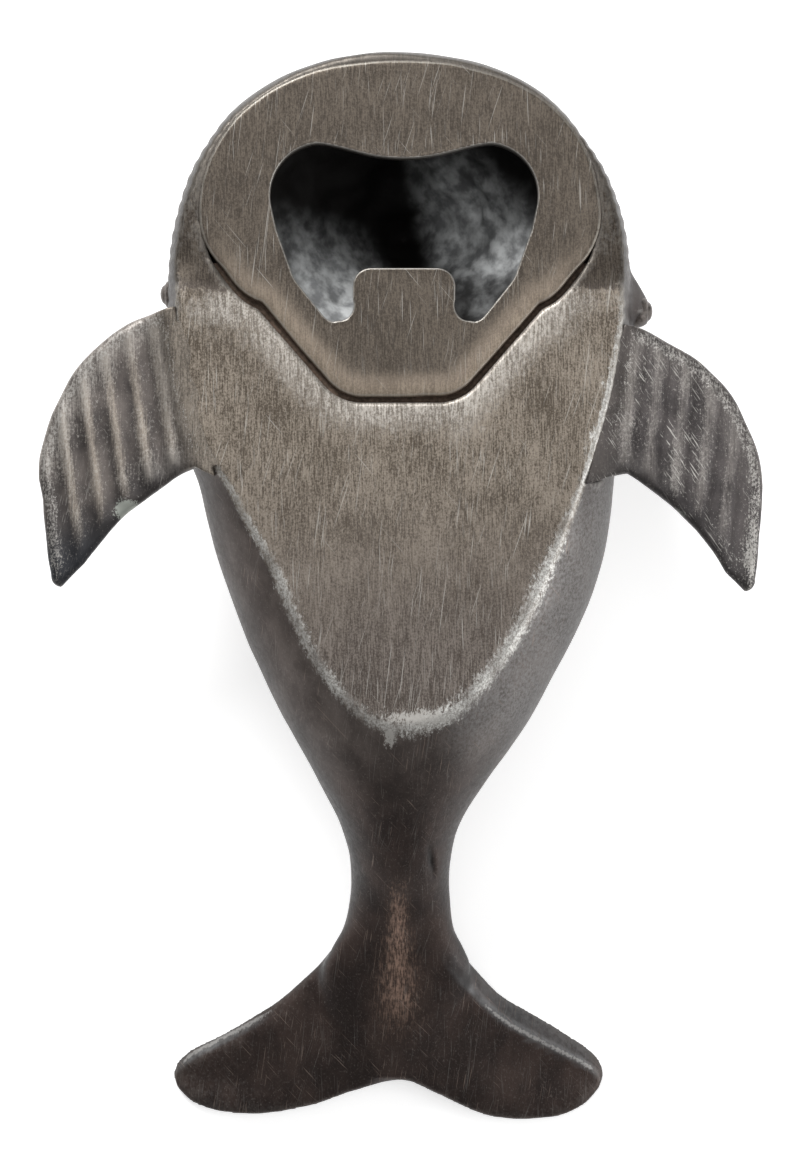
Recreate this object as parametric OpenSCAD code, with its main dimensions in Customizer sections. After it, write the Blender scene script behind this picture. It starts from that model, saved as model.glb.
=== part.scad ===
// Whale bottle opener, lying on its back with the opener side up.
// Millimetres. X runs across the fins, Y from the flukes to the head, and Z up
// from the surface under the whale's back. The origin is on that surface, under
// the middle of the opener's outer box. The small sideways shifts are real: the
// casting is a little crooked, as hand-finished ones are.

/* [Body] */
// Height of the ground belly above the surface under the back
belly_z = 30; // [28:0.5:33]
// Width of the head across its widest line
head_w = 52.2; // [51:0.2:56]
// How far the rounded front of the head reaches ahead of the eyes
head_l = 28; // [27.4:0.1:29]
// How square the rounded front of the head is; 2 is an ellipse
head_square = 2.35; // [2.2:0.05:2.6]
// How far the jaw's rim lies below the belly beside the opener plate
jaw_drop = 0.4; // [0.3:0.1:1]

/* [Opener plate] */
// Thickness of the plate
plate_t = 2.5; // [2:0.1:3]
// How far the plate's face lies below the belly
plate_drop = 0.2; // [0.1:0.05:0.4]
// Width of the plate's round part
plate_w = 44.8; // [43.5:0.1:45.5]
// Width of the opening that passes over a crown cap
opening_w = 29.8; // [29.5:0.1:31]
// Width of the tab that lifts the cap
tab_w = 11.4; // [10.5:0.1:12]
// Clear distance from the tab's edge to the bulge that the cap turns about
tab_gap = 12.2; // [11.6:0.1:12.8]
// Width of the groove behind the plate
groove_w = 0.8; // [0.6:0.1:1.2]
// Height of the solder in the groove
seam_t = 1.3; // [0.8:0.1:1.7]

/* [Fins] */
// Thickness of a fin's blade
fin_t = 2.4; // [2:0.1:3]
// How far each blade tilts down towards the back
fin_tilt = 7; // [4:1:10]
// How far the blade's root lies below the belly
fin_drop = 0.45; // [0.4:0.05:0.6]
// Height of the rays above the blade
ray_rise = 0.3; // [0.2:0.05:0.4]

/* [Flukes] */
// Width across the flukes
fluke_span = 51.5; // [46:0.5:56]
// Thickness of the flukes beside the tail stock
fluke_t = 5.4; // [4.8:0.1:6]
// Sideways shift of the flukes
fluke_x = -1.4; // [-1.6:0.1:0]

/* [Eyes] */
// Radius of an eye's round head
eye_r = 1.8; // [1.5:0.05:2]
// Radius of the shank that is pressed into the head
shank_r = 0.7; // [0.5:0.05:0.9]
// Length of the shank
shank_l = 3.6; // [3:0.1:4]

/* [Hidden] */

$fn = 48;
patina = [0.42, 0.38, 0.34];
brushed = [0.50, 0.46, 0.41];
worn_silver = [0.66, 0.65, 0.63];
big = 200;
fit_gap = 0.1;

// The head's round front starts at head_y, and its widest line is at head_z.
head_y = 33.5;
head_z = belly_z * 0.733;
head_half = head_w / 2;
ring_sides = 40;
front_rings = 10;
last_front_angle = 86;

// Cross-sections of the trunk and tail stock behind the head. Widths are shares of
// the head's half width, and heights are shares of the belly's height. The belly
// heights above 1 are what the grinding of the flat took away.
// [y, sideways shift, half width, widest height, belly height, back height, squareness]
sections = [
    [33.5, 0.0, 1.000, 0.733, 1.400, 0.000, 2.35],
    [18, 0.1, 0.946, 0.700, 1.290, 0.007, 2.30],
    [12.5, 0.8, 0.908, 0.683, 1.183, 0.020, 2.30],
    [5, 1.2, 0.848, 0.667, 1.120, 0.053, 2.20],
    [-4, 1.1, 0.722, 0.643, 1.083, 0.110, 2.15],
    [-10, 0.9, 0.611, 0.620, 1.043, 0.163, 2.10],
    [-14, 0.7, 0.528, 0.600, 1.000, 0.195, 2.10],
    [-21, 0.3, 0.366, 0.533, 0.890, 0.237, 2.10],
    [-26.5, 0.0, 0.255, 0.473, 0.773, 0.240, 2.10],
    [-31, 0.0, 0.219, 0.413, 0.663, 0.217, 2.10],
    [-35, 0.0, 0.224, 0.347, 0.547, 0.175, 2.10],
    [-38.5, -0.1, 0.250, 0.297, 0.460, 0.141, 2.10],
    [-41, -0.2, 0.296, 0.263, 0.400, 0.120, 2.10],
    [-43.5, -0.4, 0.330, 0.235, 0.350, 0.105, 2.10],
    [-47, -0.8, 0.300, 0.203, 0.293, 0.093, 2.00],
    [-52, -1.2, 0.190, 0.163, 0.223, 0.085, 2.00],
    [-56, -1.5, 0.070, 0.127, 0.163, 0.082, 2.00]
];
trunk_step = 2.2;

// Half of the flukes: [share of the half span, leading edge y, trailing edge y]
fluke_sections = [
    [0.00, -37.5, -56.9],
    [0.20, -38.4, -58.4],
    [0.28, -41.2, -59.3],
    [0.38, -44.1, -60.3],
    [0.50, -47.1, -61.1],
    [0.64, -49.4, -61.3],
    [0.78, -51.4, -61.0],
    [0.90, -53.1, -60.0],
    [0.97, -54.6, -58.4],
    [1.00, -55.8, -57.2]
];
fluke_sides = 16;
fluke_steps = 12;
fluke_tip_t = 2.2;
fluke_shift_end = 0.5;
fluke_skew = 0.55;

// Opener plate and its opening
plate_y = 42.6;
plate_reach_front = 17.4;
plate_reach_back = 11;
plate_square = 2.2;
// Rear end of the plate's tongue: [half width, y], and where its sides start
tongue_end = [6.5, 22.5];
tongue_start = [18.9, 36.8];
opener_x = 0.45;
tab_y = 36.8;
fulcrum_r = 19;
lobe_r = 5.8;
// More circles down each side of the opening: [distance from the wide lobe's x, y, radius]
side_lobes = [[0.2, 42.5, 5.1], [-0.5, 37.6, 4.1]];
low_lobe_r = 1.9;
low_lobe = [7.5, 32.7];
seat_z = belly_z - plate_drop - plate_t;
groove_end = 37.5;
jaw_y = 34.3;
jaw_slope = 9;

// Hollow of the head, and the cored tunnel that leads back into the trunk
cavity = [18.4, 14.6, 21];
cavity_y = 42;
cavity_square = 1.05;
tunnel_x = 0;
tunnel_z = 15;
tunnel_r = 4.2;
tunnel_start = 47;
tunnel_end = -5;

// Fins: the root line, the outline's arcs, and the tongue in the flank
fin_reach = 40.8;
fin_root_x = 23.4;
// The fin's inner edge, from behind to ahead: [distance from fin_root_x, y]
fin_inner_edge = [[-3, 13], [-0.3, 22.5]];
left_fin_shift = 0.4;
right_fin_shift = -0.5;
lead_centre = 13.1;
left_lead_reach = 19.3;
right_lead_reach = 18.1;
lead_power = 1.85;
trail_centre = [13.1, -9.8];
left_trail_r = 25.9;
right_trail_r = 27;
left_tip = [38.1, 2.1];
right_tip = [38.8, 2.5];
tip_r = 1.3;
tongue = [4, 9, 1.2];
bead_r = 1.3;
ray_pitch = 3;
ray_r = 1.6;
ray_lean = 7;

// Eyes: [x, y, z] of each round head's centre, left then right
eye_left = [0.8 - head_half, 34.4, belly_z * 0.76];
eye_right = [head_half + 0.6, 32.5, belly_z * 0.76];
socket_r = 3.6;
socket_depth = 2.6;

// A smooth curve through one column of a table whose first column falls steadily
function end_row(t, i) = i == 0 || i == len(t) - 1;
function slope(t, i, c) =
    end_row(t, i) ? 0 : (t[i + 1][c] - t[i - 1][c]) / (t[i + 1][0] - t[i - 1][0]);
function row_at(t, y, i = 0) =
    i < len(t) - 2 && abs(y - t[0][0]) > abs(t[i + 1][0] - t[0][0]) ? row_at(t, y, i + 1) : i;
function blend(a, b, ma, mb, h, u) =
    a * (1 + 2 * u) * pow(1 - u, 2) + ma * h * u * pow(1 - u, 2)
    + b * (3 - 2 * u) * u * u - mb * h * u * u * (1 - u);
function between(t, c, y, i, h) =
    blend(t[i][c], t[i + 1][c], slope(t, i, c), slope(t, i + 1, c), h, (y - t[i][0]) / h);
function at(t, c, y) =
    let (i = row_at(t, y))
    between(t, c, y, i, t[i + 1][0] - t[i][0]);

// A superellipse's point at angle a, for half axes 1 and squareness p
function power(v, p) = sign(v) * pow(abs(v), 2 / p);
function round_point(a, p) = [power(cos(a), p), power(sin(a), p)];

// One ring of the body's surface: half width w, heights above and below its widest line
function ring(y, x, w, z, up, down, p) = [
    for (i = [0 : ring_sides - 1])
        let (q = round_point(360 * i / ring_sides, p))
        [x - w * q[0], y, z + q[1] * (q[1] > 0 ? up : down)]
];
function front_ring(a) =
    let (q = round_point(a, head_square))
    ring(
        head_y + head_l * q[1], 0, head_half * q[0], head_z,
        (belly_z * sections[0][4] - head_z) * q[0], head_z * q[0], head_square
    );
function trunk_ring(y) =
    let (z = belly_z * at(sections, 3, y))
    ring(
        y, at(sections, 1, y), head_half * at(sections, 2, y), z,
        belly_z * at(sections, 4, y) - z, z - belly_z * at(sections, 5, y), at(sections, 6, y)
    );

// A closed solid through rings that have the same number of points
module loft(rings) {
    n = len(rings[0]);
    last = len(rings) - 1;
    sides = [
        for (k = [0 : last - 1], i = [0 : n - 1])
            let (j = (i + 1) % n)
            each [
                [k * n + i, k * n + j, (k + 1) * n + j],
                [k * n + i, (k + 1) * n + j, (k + 1) * n + i]
            ]
    ];
    first_cap = [for (i = [n - 1 : -1 : 0]) i];
    last_cap = [for (i = [0 : n - 1]) last * n + i];
    polyhedron([for (r = rings) each r], concat(sides, [first_cap, last_cap]));
}

// The whole outer form of head, trunk and tail stock, before anything is cut
module body_form() {
    tail_y = sections[len(sections) - 1][0];
    trunk_rings = floor((head_y - tail_y) / trunk_step);
    loft(concat(
        [for (k = [front_rings : -1 : 1]) front_ring(last_front_angle * k / front_rings)],
        [for (k = [0 : trunk_rings]) trunk_ring(head_y + (tail_y - head_y) * k / trunk_rings)]
    ));
}

// A section across one fluke: round leading edge, thinner trailing edge
function fluke_ring(side, u) =
    let (
        lead = at(fluke_sections, 1, u) + side * fluke_skew * sin(180 * u),
        trail = at(fluke_sections, 2, u) - 0.3 * (1 + side) * sin(180 * u),
        t = fluke_tip_t + (fluke_t - fluke_tip_t) * pow(1 - u, 1.3),
        mid = t / 2 + 2.6 * pow(1 - u, 1.5)
    )
    [
        for (i = [0 : fluke_sides - 1])
            let (q = round_point(360 * i / fluke_sides, 2.3), v = (q[0] + 1) / 2)
            [
                fluke_x * min(1, u / fluke_shift_end) + side * u * fluke_span / 2,
                trail + (lead - trail) * v,
                mid + 3 * (v - 0.3) * (1 - u) + q[1] * t / 2 * (0.6 + 0.4 * v)
            ]
    ];
module flukes() {
    loft(concat(
        [for (k = [fluke_steps : -1 : 0]) fluke_ring(1, sin(90 * k / fluke_steps))],
        [for (k = [1 : fluke_steps]) fluke_ring(-1, sin(90 * k / fluke_steps))]
    ));
}

module plate_outline() {
    neck_r = 3;
    corner_r = 5;
    offset(r = -neck_r)
        offset(delta = neck_r) {
            polygon([
                for (a = [0 : 6 : 354])
                    let (q = round_point(a, plate_square))
                    [q[0] * plate_w / 2,
                     plate_y + q[1] * (q[1] > 0 ? plate_reach_front : plate_reach_back)]
            ]);
            offset(r = corner_r)
                offset(delta = -corner_r)
                    polygon([
                        [-tongue_start[0], plate_y], [tongue_start[0], plate_y], tongue_start,
                        tongue_end, [-tongue_end[0], tongue_end[1]],
                        [-tongue_start[0], tongue_start[1]]
                    ]);
        }
}

// Opening for the cap: two wide lobes ahead, two small ones beside the lifting tab
module opening_outline() {
    lobe_x = opening_w / 2 - lobe_r;
    fulcrum_y = tab_y + tab_gap;
    edge_r = 0.5;
    translate([opener_x, 0])
        offset(r = edge_r)
            offset(delta = -edge_r)
                difference() {
                    hull() {
                        for (side = [-1, 1]) {
                            translate([side * lobe_x, fulcrum_y + 1.7 - lobe_r]) circle(lobe_r);
                            for (lobe = side_lobes)
                                translate([side * (lobe_x + lobe[0]), lobe[1]]) circle(lobe[2]);
                            translate([side * low_lobe[0], low_lobe[1]]) circle(low_lobe_r);
                        }
                    }
                    translate([0, fulcrum_y + fulcrum_r]) circle(fulcrum_r);
                    lifting_tab_outline();
                }
}
module lifting_tab_outline() {
    corner_r = 2;
    root_y = tongue_end[1];
    difference() {
        union() {
            translate([-tab_w / 2, root_y])
                offset(r = corner_r)
                    offset(delta = -corner_r)
                        square([tab_w, tab_y - root_y]);
            translate([-low_lobe[0], root_y])
                square([2 * low_lobe[0], low_lobe[1] - root_y]);
        }
        for (side = [-1, 1])
            translate([side * low_lobe[0], low_lobe[1]]) circle(low_lobe_r);
    }
}

// Everything above the rim of the jaw, which slopes away from the plate
module above_jaw() {
    inner_r = 15;
    outer_r = 60;
    beside_plate_r = plate_w / 2;
    tilt = tan(jaw_slope);
    rim_z = belly_z - jaw_drop;
    intersection() {
        translate([0, head_y, 0])
            rotate_extrude($fn = 96)
                polygon([
                    [0, rim_z + (beside_plate_r - inner_r) * tilt],
                    [inner_r, rim_z + (beside_plate_r - inner_r) * tilt],
                    [outer_r, rim_z + (beside_plate_r - outer_r) * tilt],
                    [outer_r, belly_z + 20],
                    [0, belly_z + 20]
                ]);
        translate([-big / 2, jaw_y, 0]) cube([big, big, belly_z + 15]);
    }
}

// Seat of the plate: close around its front, with a groove behind it
module plate_seat() {
    translate([0, 0, seat_z])
        linear_extrude(belly_z) {
            offset(delta = fit_gap) plate_outline();
            intersection() {
                offset(r = groove_w) plate_outline();
                translate([-big / 2, 0]) square([big, groove_end]);
            }
        }
}

module head_hollow() {
    steps = 9;
    translate([opener_x, cavity_y, seat_z + 0.5])
        loft([
            for (k = [steps : -1 : 0])
                let (q = round_point(84 * k / steps, cavity_square))
                [
                    for (i = [0 : 27])
                        let (o = round_point(360 * i / 28, 2.2))
                        [cavity[0] * q[0] * o[0], -cavity[1] * q[0] * o[1], -cavity[2] * q[1]]
                ]
        ]);
    translate([tunnel_x, tunnel_start, tunnel_z])
        rotate([90, 0, 0])
            cylinder(tunnel_start - tunnel_end, tunnel_r, tunnel_r);
    translate([tunnel_x, tunnel_end, tunnel_z]) sphere(tunnel_r);
}

// The fins differ a little: the right one is narrower and lies further back
function lead_reach(side) = side < 0 ? left_lead_reach : right_lead_reach;
function trail_r(side) = side < 0 ? left_trail_r : right_trail_r;
function tip(side) = side < 0 ? left_tip : right_tip;

// Places its children at a fin's root: X outward, Z up out of the blade's face
module at_fin(side) {
    shift = side < 0 ? left_fin_shift : right_fin_shift;
    mirror([side < 0 ? 1 : 0, 0, 0])
        translate([fin_root_x, shift, belly_z - fin_drop])
            rotate([0, fin_tilt, 0])
                translate([-fin_root_x, 0, 0])
                    children();
}
module fin_outline(side) {
    lead = fin_reach - fin_root_x;
    r = trail_r(side);
    trail_end = asin((3.4 - trail_centre[1]) / r);
    trail_start = asin((14.2 - trail_centre[1]) / r);
    polygon(concat(
        [for (a = [78 : -6 : 0])
            let (q = round_point(a, lead_power))
            [fin_root_x + lead * q[0], lead_centre + lead_reach(side) * q[1]]],
        [for (a = [10 : -25 : -90]) tip(side) + tip_r * [cos(a), sin(a)]],
        [for (k = [0 : 8])
            let (a = trail_end + (trail_start - trail_end) * k / 8)
            trail_centre + r * [cos(a), sin(a)]],
        [for (p = fin_inner_edge) [fin_root_x + p[0], p[1]]],
        [[fin_root_x + 1.3, lead_centre + 0.94 * lead_reach(side)]]
    ));
}
module fin_blade(side) {
    translate([0, 0, -fin_t]) linear_extrude(fin_t) fin_outline(side);
}
module fin_tongue() {
    translate([fin_root_x - tongue[0], 18.5, -fin_t / 2 - tongue[2] / 2])
        cube([tongue[0] + 4, tongue[1], tongue[2]]);
}
module fin_rays(side) {
    intersection() {
        for (k = [0 : 4], face = [0, 1])
            translate([fin_root_x + 0.5 + k * ray_pitch, 0, face * -fin_t])
                rotate([-90, 0, -ray_lean])
                    translate([0, (face == 0 ? 1 : -1) * (ray_r - ray_rise), 0])
                        cylinder(40, ray_r, ray_r);
        translate([0, 0, -2 * fin_t])
            linear_extrude(4 * fin_t)
                offset(delta = -0.8) fin_outline(side);
    }
}
module fin(side) {
    at_fin(side) {
        fin_blade(side);
        fin_tongue();
        fin_rays(side);
    }
}
// What the flank loses to a fin: the shoulder that the blade lies on, and the slot
module fin_seat(side) {
    at_fin(side) {
        translate([0, 0, -fin_t]) linear_extrude(fin_t + 3) fin_outline(side);
        fin_tongue();
    }
}
// The bead of solder under a fin, half let into the flank
module bead_spindle(side) {
    bead_l = 11;
    at_fin(side)
        translate([fin_root_x + 1.9, 17.5, -fin_t - 0.3])
            rotate([-90, 0, -4])
                rotate_extrude($fn = 32)
                    polygon([
                        [0, -bead_r], [bead_r * 0.6, -bead_r * 0.7], [bead_r, 0],
                        [bead_r, bead_l], [bead_r * 0.6, bead_l + bead_r * 0.7], [0, bead_l + bead_r]
                    ]);
}
module fin_solder(side) {
    difference() {
        bead_spindle(side);
        at_fin(side) translate([0, 0, -fin_t]) cube([big, big, fin_t]);
    }
}

// Places its children at an eye: Z points out of the side of the head
module at_eye(side) {
    translate(side < 0 ? eye_left : eye_right) rotate([0, side * 90, 0]) children();
}
module eye(side) {
    at_eye(side) {
        sphere(eye_r);
        translate([0, 0, -eye_r - shank_l]) cylinder(eye_r + shank_l, shank_r, shank_r);
    }
}
// The raised rim of metal around an eye
module eye_socket(side) {
    at_eye(side)
        translate([0, 0, -socket_depth])
            sphere(socket_r);
}

module whale_body() {
    color(patina)
        difference() {
            union() {
                body_form();
                flukes();
                for (side = [-1, 1]) eye_socket(side);
            }
            translate([-big / 2, -big / 2, belly_z]) cube([big, big, belly_z]);
            above_jaw();
            plate_seat();
            head_hollow();
            for (side = [-1, 1]) {
                fin_seat(side);
                bead_spindle(side);
                eye(side);
            }
        }
}
module opener_plate() {
    color(brushed)
        translate([0, 0, seat_z])
            linear_extrude(plate_t)
                difference() {
                    plate_outline();
                    opening_outline();
                }
}
module plate_solder_seam() {
    color(worn_silver)
        translate([0, 0, seat_z])
            linear_extrude(seam_t)
                intersection() {
                    difference() {
                        offset(r = groove_w) plate_outline();
                        plate_outline();
                    }
                    translate([-big / 2, 0]) square([big, groove_end]);
                }
}
module left_fin() {
    color(patina) fin(-1);
}
module right_fin() {
    color(patina) fin(1);
}
module left_eye() {
    color(patina) eye(-1);
}
module right_eye() {
    color(patina) eye(1);
}
module left_fin_solder() {
    color(worn_silver) fin_solder(-1);
}
module right_fin_solder() {
    color(worn_silver) fin_solder(1);
}

whale_body();
opener_plate();
left_fin();
right_fin();
left_eye();
right_eye();
plate_solder_seam();
left_fin_solder();
right_fin_solder();
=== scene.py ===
import math

import bpy
import numpy as np
import openvdb
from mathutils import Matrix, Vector


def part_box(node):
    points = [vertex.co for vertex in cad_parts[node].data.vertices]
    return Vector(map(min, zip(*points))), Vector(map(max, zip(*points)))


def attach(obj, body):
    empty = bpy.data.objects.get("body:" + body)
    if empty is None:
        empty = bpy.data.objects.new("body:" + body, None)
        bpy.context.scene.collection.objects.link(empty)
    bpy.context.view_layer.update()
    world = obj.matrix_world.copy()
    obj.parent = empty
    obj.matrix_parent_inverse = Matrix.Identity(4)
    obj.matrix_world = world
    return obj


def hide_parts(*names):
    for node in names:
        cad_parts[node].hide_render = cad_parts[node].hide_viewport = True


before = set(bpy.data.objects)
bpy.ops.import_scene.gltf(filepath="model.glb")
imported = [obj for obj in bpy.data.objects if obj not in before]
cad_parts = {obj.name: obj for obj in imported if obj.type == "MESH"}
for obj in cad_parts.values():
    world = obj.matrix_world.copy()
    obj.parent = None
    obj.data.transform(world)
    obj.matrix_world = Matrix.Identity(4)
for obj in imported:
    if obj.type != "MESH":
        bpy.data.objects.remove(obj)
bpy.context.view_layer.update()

# Every number below is in millimetres unless its name or comment says otherwise.
# The pieces are carved as distance fields on fine grids: a field is negative inside
# the metal and positive outside, and its zero surface becomes the mesh.
MM = 0.001


def node_box(name):
    """A CAD node's lowest and highest corners."""
    low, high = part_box(name)
    return np.array(low) / MM, np.array(high) / MM


BODY_LOW, BODY_HIGH = node_box("whale_body")
PLATE_LOW, PLATE_HIGH = node_box("opener_plate")

# Body
BELLY_Z = BODY_HIGH[2]
HEAD_Y = 33.5
HEAD_HALF = 26.1
HEAD_L = 28.0
# [y, sideways shift, half width, widest height, belly height, back height, squareness];
# widths are shares of HEAD_HALF, and heights are shares of BELLY_Z
SECTIONS = np.array([
    [33.5, 0.0, 1.000, 0.733, 1.400, 0.000, 2.35],
    [18, 0.1, 0.946, 0.700, 1.290, 0.007, 2.30],
    [12.5, 0.8, 0.908, 0.683, 1.183, 0.020, 2.30],
    [5, 1.2, 0.848, 0.667, 1.120, 0.053, 2.20],
    [-4, 1.1, 0.722, 0.643, 1.083, 0.110, 2.15],
    [-10, 0.9, 0.611, 0.620, 1.043, 0.163, 2.10],
    [-14, 0.7, 0.528, 0.600, 1.000, 0.195, 2.10],
    [-21, 0.3, 0.366, 0.533, 0.890, 0.237, 2.10],
    [-26.5, 0.0, 0.255, 0.473, 0.773, 0.240, 2.10],
    [-31, 0.0, 0.219, 0.413, 0.663, 0.217, 2.10],
    [-35, 0.0, 0.224, 0.347, 0.547, 0.175, 2.10],
    [-38.5, -0.1, 0.250, 0.297, 0.460, 0.141, 2.10],
    [-41, -0.2, 0.296, 0.263, 0.400, 0.120, 2.10],
    [-43.5, -0.4, 0.330, 0.235, 0.350, 0.105, 2.10],
    [-47, -0.8, 0.300, 0.203, 0.293, 0.093, 2.00],
    [-52, -1.2, 0.190, 0.163, 0.223, 0.085, 2.00],
    [-56, -1.5, 0.070, 0.127, 0.163, 0.082, 2.00],
])

# Flukes: [share of the half span, leading edge y, trailing edge y]
FLUKE_HALF = 25.75
FLUKE_X = -1.4
FLUKE_SECTIONS = np.array([
    [0.00, -37.5, -56.9],
    [0.20, -38.4, -58.4],
    [0.28, -41.2, -59.3],
    [0.38, -44.1, -60.3],
    [0.50, -47.1, -61.1],
    [0.64, -49.4, -61.3],
    [0.78, -51.4, -61.0],
    [0.90, -53.1, -60.0],
    [0.97, -54.6, -58.4],
    [1.00, -55.8, -57.2],
])
FLUKE_T = 5.4
FLUKE_TIP_T = 2.2
FLUKE_SKEW = 0.55

# Plate, its opening and its seat
PLATE_Y = 42.6
PLATE_HALF = (PLATE_HIGH[0] - PLATE_LOW[0]) / 2
PLATE_FRONT = 17.4
PLATE_BACK = 11.0
OPENER_X = 0.45
TAB_HALF = 5.7
TAB_R = 2.0
TAB_Y = 36.8
TAB_GAP = 12.2
FULCRUM_R = 19.0
LOBES = [(9.1, 44.9, 5.8), (9.3, 42.5, 5.1), (8.6, 37.6, 4.1), (7.5, 32.7, 1.9)]
TONGUE_START = (18.9, 36.8)
TONGUE_END = (6.5, 22.5)
TONGUE_CORNER_R = 5.0
GROOVE_W = 0.65
# The gap where no line should show: less than nothing, so that the metals overlap
HIDDEN = -0.3
GROOVE_END = 37.5
JAW_Y = 34.3
JAW_DROP = 0.4
JAW_SLOPE = math.tan(math.radians(9))

# Hollow of the head, and the tunnel behind it
CAVITY = (18.4, 14.6, 21.0)
CAVITY_Y = 42.0
CAVITY_SQUARE = 1.05
TUNNEL_Z = 15.0
TUNNEL_R = 4.2
TUNNEL_START = 47.0
TUNNEL_END = -5.0

# Fins: the right one (side 1) and the left one (side -1) differ a little
FIN_ROOT = 23.4
FIN_REACH = 40.8
FIN_T = 2.4
FIN_TILT = math.radians(7)
FIN_Z = BELLY_Z - 0.45
FIN_SHIFT = {-1: 0.4, 1: -0.5}
LEAD_CENTRE = 13.1
LEAD_REACH = {-1: 19.3, 1: 18.1}
LEAD_POWER = 1.85
TRAIL_CENTRE = (13.1, -9.8)
TRAIL_R = {-1: 25.9, 1: 27.0}
FIN_TIP = {-1: (38.1, 2.1), 1: (38.8, 2.5)}
FIN_TIP_R = 1.3
RAY_PITCH = 3.0
RAY_RISE = 0.4
RAY_LEAN = {-1: math.tan(math.radians(8)), 1: math.tan(math.radians(5))}
INNER_EDGE = [(-3.0, 13.0), (-0.3, 22.5)]
TONGUE = (4.0, 18.5, 9.0, 1.2)
BEAD_R = 1.3
BEAD_L = 11.0
BEAD_START = (FIN_ROOT + 1.9, 17.5)

# Eyes
EYE_R = 1.8
SHANK_R = 0.7
SHANK_L = 3.6
EYES = {
    side: (node_box(name)[0] + node_box(name)[1]) / 2
    for side, name in ((-1, "left_eye"), (1, "right_eye"))
}
for side, centre in EYES.items():
    centre[0] += side * SHANK_L / 2
# The brow around each eye: its reach outward, ahead, behind and upward, and how far
# its middle lies inside the eye
BROW = {-1: (3.2, 3.8, 3.2, 3.8), 1: (4.7, 7.0, 3.6, 4.6)}
BROW_DEPTH = 2.7
BROW_POWER = {-1: 1.5, 1: 1.2}

# Mouth line around the sides of the head, and the crease beside the tail stock
MOUTH_Z = 13.6
MOUTH_SAG = 0.004
MOUTH_W = 0.45
CREASE = (3.6, -30.0)
CREASE_LEAN = -0.15

# Worn and stained places: x, y, reach along X and reach along Y. A smear has a strength too
SMEARS = [
    (1.0, (1.8, -13.2, 5.0, 0.9)),
    (1.0, (-1.1, -15.4, 0.9, 1.3)),
    (0.8, (15.6, 27.7, 1.1, 0.9)),
]
FROST = (-19.5, 32.2, 4.5, 2.2)
FIN_CHIP = (30.5, 9.5, 1.6, 1.3)


# ---------------------------------------------------------------- fields on grids
class Grid:
    """A box of evenly spaced points, with x, y and z kept as broadcastable axes."""

    def __init__(self, low, high, step):
        self.low = np.array(low, float)
        self.step = step
        self.size = np.ceil((np.array(high) - self.low) / step).astype(int) + 1
        self.axes = [self.low[i] + step * np.arange(self.size[i]) for i in range(3)]
        self.x = self.axes[0].astype(np.float32)[:, None, None]
        self.y = self.axes[1].astype(np.float32)[None, :, None]
        self.z = self.axes[2].astype(np.float32)[None, None, :]

    def distance(self, form):
        """Turns any smooth field into nearly a distance from its zero surface."""
        slopes = np.gradient(form.astype(np.float32), self.step)
        steepness = np.sqrt(sum(s * s for s in slopes))
        return form / np.maximum(steepness, 1e-3)

    def noise(self, cell, seed):
        """Smooth noise of about unit size whose lumps are about one cell wide."""
        draw = np.random.default_rng(seed)
        counts = [int((a[-1] - a[0]) / cell) + 5 for a in self.axes]
        field = draw.standard_normal(counts).astype(np.float32)
        for axis, places in enumerate(self.axes):
            at = (places - places[0]) / cell + 1
            base = np.floor(at).astype(int)
            u = at - base
            weights = np.zeros((len(places), counts[axis]), np.float32)
            rows = np.arange(len(places))
            spline = [
                (1 - u) ** 3 / 6,
                (3 * u ** 3 - 6 * u ** 2 + 4) / 6,
                (-3 * u ** 3 + 3 * u ** 2 + 3 * u + 1) / 6,
                u ** 3 / 6,
            ]
            for k in range(4):
                weights[rows, base + k - 1] = spline[k]
            field = np.moveaxis(np.tensordot(weights, field, (1, axis)), 0, axis)
        return field / field.std()

    def sample(self, field, points):
        """The field's value at points given in millimetres."""
        at = (points - self.low) / self.step
        base = np.clip(np.floor(at).astype(int), 0, self.size - 2)
        u = np.clip(at - base, 0, 1)
        total = 0
        for corner in range(8):
            bits = np.array([corner & 1, corner >> 1 & 1, corner >> 2 & 1])
            weight = np.prod(np.where(bits, u, 1 - u), axis=1)
            i, j, k = (base + bits).T
            total = total + weight * field[i, j, k]
        return total

    def sample_plan(self, plan, points):
        """The same for a field that has no height of its own."""
        return self.sample(plan[:, :, None] + 0 * self.z, points)


def soft_max(a, b, k):
    """The larger of two fields, rounded where they meet: cuts, or rounds an edge."""
    h = np.clip(0.5 + 0.5 * (a - b) / k, 0, 1)
    return b + (a - b) * h + k * h * (1 - h)


def soft_min(a, b, k):
    """The smaller of two fields, with a fillet where they meet: joins."""
    return -soft_max(-a, -b, k)


def ramp(value, start, end):
    """0 at start, 1 at end, smooth between."""
    u = np.clip((value - start) / (end - start), 0, 1)
    return u * u * (3 - 2 * u)


def spot(at, place):
    """1 at a place in plan, fading out within its own reach along X and along Y."""
    x, y, reach_x, reach_y = place
    return np.exp(-(((at[:, 0] - x) / reach_x) ** 2) - ((at[:, 1] - y) / reach_y) ** 2)


def blur(field, passes):
    """Averages a field with its neighbours along all three axes."""
    out = field.astype(np.float32)
    for _ in range(passes):
        for axis in range(3):
            n = out.shape[axis]
            padded = np.pad(out, [(int(i == axis),) * 2 for i in range(3)], "edge")
            before, after = (padded.take(range(k, n + k), axis) for k in (0, 2))
            out = (before + 2 * out + after) / 4
    return out


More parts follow.
